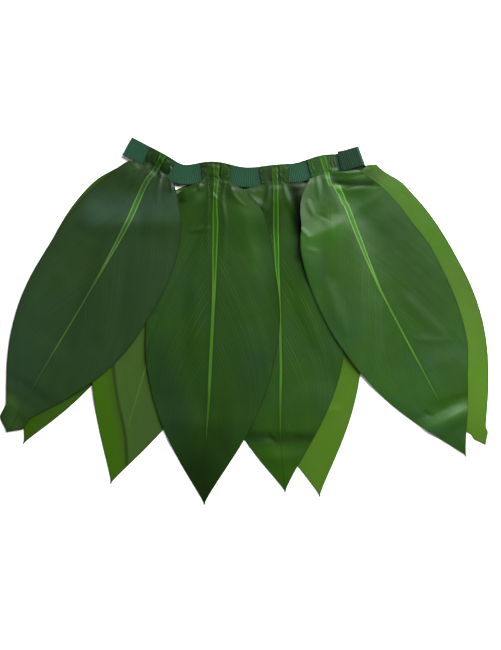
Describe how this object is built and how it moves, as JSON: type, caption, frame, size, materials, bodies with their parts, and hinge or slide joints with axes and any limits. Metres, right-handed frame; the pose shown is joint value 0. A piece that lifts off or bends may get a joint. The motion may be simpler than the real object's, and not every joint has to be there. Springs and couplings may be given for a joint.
{
  "type": "leaf hula skirt laid flat",
  "caption": "Hula skirt of wide satin leaves sewn by short tabs to an elastic waist tape, laid flat, with front leaves printed face up over back leaves.",
  "frame": {"origin": "on the ground, under the middle of the skirt's outline", "axes": "+X to the wearer's left as seen from the front (right in the picture), +Y from the hem up to the waist, +Z off the ground"},
  "size_m": [0.5365, 0.404, 0.0187],
  "materials": {
    "woven_elastic": "ribbed woven elastic tape, dark teal green",
    "printed_satin_face": "printed satin leaf face, dark green with a light midrib and soft sheen",
    "satin_reverse": "unprinted satin reverse, yellow green"
  },
  "bodies": {
    "root": {"waist_tape": "woven_elastic", "leaf_front_1": "printed_satin_face", "leaf_front_2": "printed_satin_face", "leaf_front_3": "printed_satin_face", "leaf_front_4": "printed_satin_face", "leaf_back_1": "satin_reverse", "leaf_back_2": "satin_reverse", "leaf_back_3": "satin_reverse", "leaf_back_4": "satin_reverse"}
  },
  "joints": []
}
